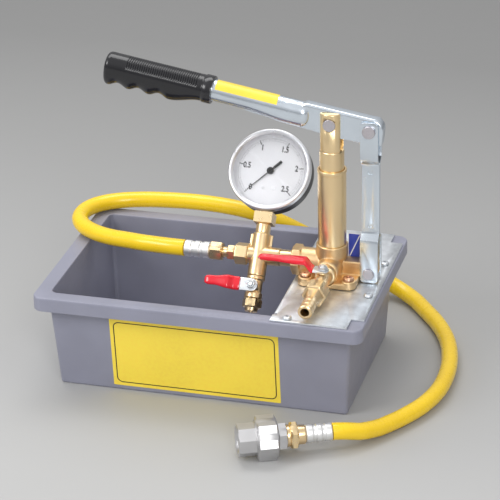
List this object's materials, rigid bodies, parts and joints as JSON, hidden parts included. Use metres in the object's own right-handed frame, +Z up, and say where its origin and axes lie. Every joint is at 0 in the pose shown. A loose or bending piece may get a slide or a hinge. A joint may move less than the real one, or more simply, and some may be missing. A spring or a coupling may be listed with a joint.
{
  "type": "hydrostatic test pump",
  "caption": "Hand-lever brass test pump on an open plastic water tank, with a leaning pressure gauge, lever ball valves and a hose that ends in a pipe union.",
  "frame": {"origin": "centre of the tank's underside, on the floor that the pump stands on", "axes": "+X along the tank toward the pump end, +Y away from the side that the gauge faces, +Z up"},
  "size_m": [0.4155, 0.3883, 0.3218],
  "materials": {
    "cast_brass": "sand-cast and forged brass, satin, machined bright on its flats",
    "machined_brass": "turned brass, polished",
    "coppered_steel": "copper-coloured plated steel, satin",
    "zinc_plate": "bright zinc-plated steel",
    "pressed_steel": "pressed steel, bright plated",
    "stainless_steel": "turned stainless steel",
    "white_ferrule": "crimped steel, white zinc",
    "grey_plastic": "moulded, fine satin grain",
    "black_grip": "moulded, glossy",
    "black_case": "black, satin",
    "red_sleeve": "dipped vinyl, glossy",
    "yellow_hose": "extruded, smooth",
    "dial_white": "printed, matt",
    "gauge_glass": "clear window",
    "seal_rubber": "moulded lip seal"
  },
  "bodies": {
    "pump_base": {"barrel": "machined_brass", "bourdon_tube": "cast_brass", "cross_fitting": "cast_brass", "deck_plate": "zinc_plate", "deck_screw_1": "zinc_plate", "deck_screw_2": "zinc_plate", "deck_screw_3": "zinc_plate", "deck_screw_4": "zinc_plate", "delivery_nipple": "machined_brass", "drain_end_nut": "machined_brass", "drain_valve_body": "cast_brass", "end_nipple": "cast_brass", "foot_bolt_1": "coppered_steel", "foot_bolt_2": "coppered_steel", "foot_bolt_3": "coppered_steel", "foot_bolt_4": "coppered_steel", "gauge_bezel": "stainless_steel", "gauge_case": "black_case", "gauge_dial": "dial_white", "gauge_glass": "gauge_glass", "gauge_movement": "cast_brass", "gauge_stem": "cast_brass", "hose": "yellow_hose", "hose_adapter": "machined_brass", "hose_barb": "machined_brass", "hose_ferrule_end": "white_ferrule", "hose_ferrule_pump": "white_ferrule", "hose_nut": "cast_brass", "link_pin": "zinc_plate", "outlet_valve_body": "cast_brass", "pump_body": "cast_brass", "suction_pipe": "machined_brass", "suction_strainer": "grey_plastic", "tank": "grey_plastic", "union_head": "stainless_steel", "union_nut": "stainless_steel", "union_tail": "stainless_steel"},
    "link": {"link_front_strap": "pressed_steel", "link_rear_strap": "pressed_steel", "fulcrum_pin": "zinc_plate"},
    "lever": {"lever_arm": "pressed_steel", "grip": "black_grip"},
    "plunger_rod": {"plunger": "machined_brass", "plunger_pin": "zinc_plate", "plunger_seal_1": "seal_rubber", "plunger_seal_2": "seal_rubber"},
    "drain_handle": {"drain_valve_lever": "zinc_plate", "drain_valve_sleeve": "red_sleeve", "drain_valve_stem": "zinc_plate", "drain_valve_nut": "zinc_plate", "drain_valve_ball": "stainless_steel"},
    "outlet_handle": {"outlet_valve_lever": "zinc_plate", "outlet_valve_sleeve": "red_sleeve", "outlet_valve_stem": "zinc_plate", "outlet_valve_nut": "zinc_plate", "outlet_valve_ball": "stainless_steel"},
    "pointer": {"gauge_pointer": "black_case"},
    "suction_check": {"suction_ball": "stainless_steel"},
    "delivery_check": {"delivery_ball": "stainless_steel"}
  },
  "joints": [
    {"name": "link_swing", "type": "hinge", "parent": "pump_base", "child": "link", "pos_m": [0.1495, 0, 0.1155], "axis": [0, 1, 0], "range_deg": [-0.6, 0.6]},
    {"name": "lever_pump", "type": "hinge", "parent": "link", "child": "lever", "pos_m": [0.1495, 0, 0.2655], "axis": [0, -1, 0], "range_deg": [-25, 28]},
    {"name": "plunger_slide", "type": "slide", "parent": "pump_base", "child": "plunger_rod", "axis": [0, 0, -1], "range_m": [-0.0175, 0.0196]},
    {"name": "drain_valve_turn", "type": "hinge", "parent": "pump_base", "child": "drain_handle", "pos_m": [0.0368, -0.02032, 0.0936], "axis": [0, -0.788, 0.6157], "range_deg": [0, 90]},
    {"name": "outlet_valve_turn", "type": "hinge", "parent": "pump_base", "child": "outlet_handle", "pos_m": [0.111, -0.039, 0.1196], "axis": [0, 0, 1], "range_deg": [0, 90]},
    {"name": "gauge_pointer_turn", "type": "hinge", "parent": "pump_base", "child": "pointer", "pos_m": [0.0368, 0.05233, 0.18658], "axis": [0, 0.788, -0.6157], "range_deg": [0, 270], "stiffness_Nm_per_rad": 0.0005},
    {"name": "suction_ball_lift", "type": "slide", "parent": "pump_base", "child": "suction_check", "axis": [0, 0, 1], "range_m": [0, 0.003]},
    {"name": "delivery_ball_lift", "type": "slide", "parent": "pump_base", "child": "delivery_check", "axis": [-1, 0, 0], "range_m": [0, 0.004]}
  ],
  "couplings": [
    {"joint": "link_swing", "follows": "lever_pump", "ratio": 0.02},
    {"joint": "plunger_slide", "follows": "lever_pump", "m_per_rad": 0.0398}
  ]
}
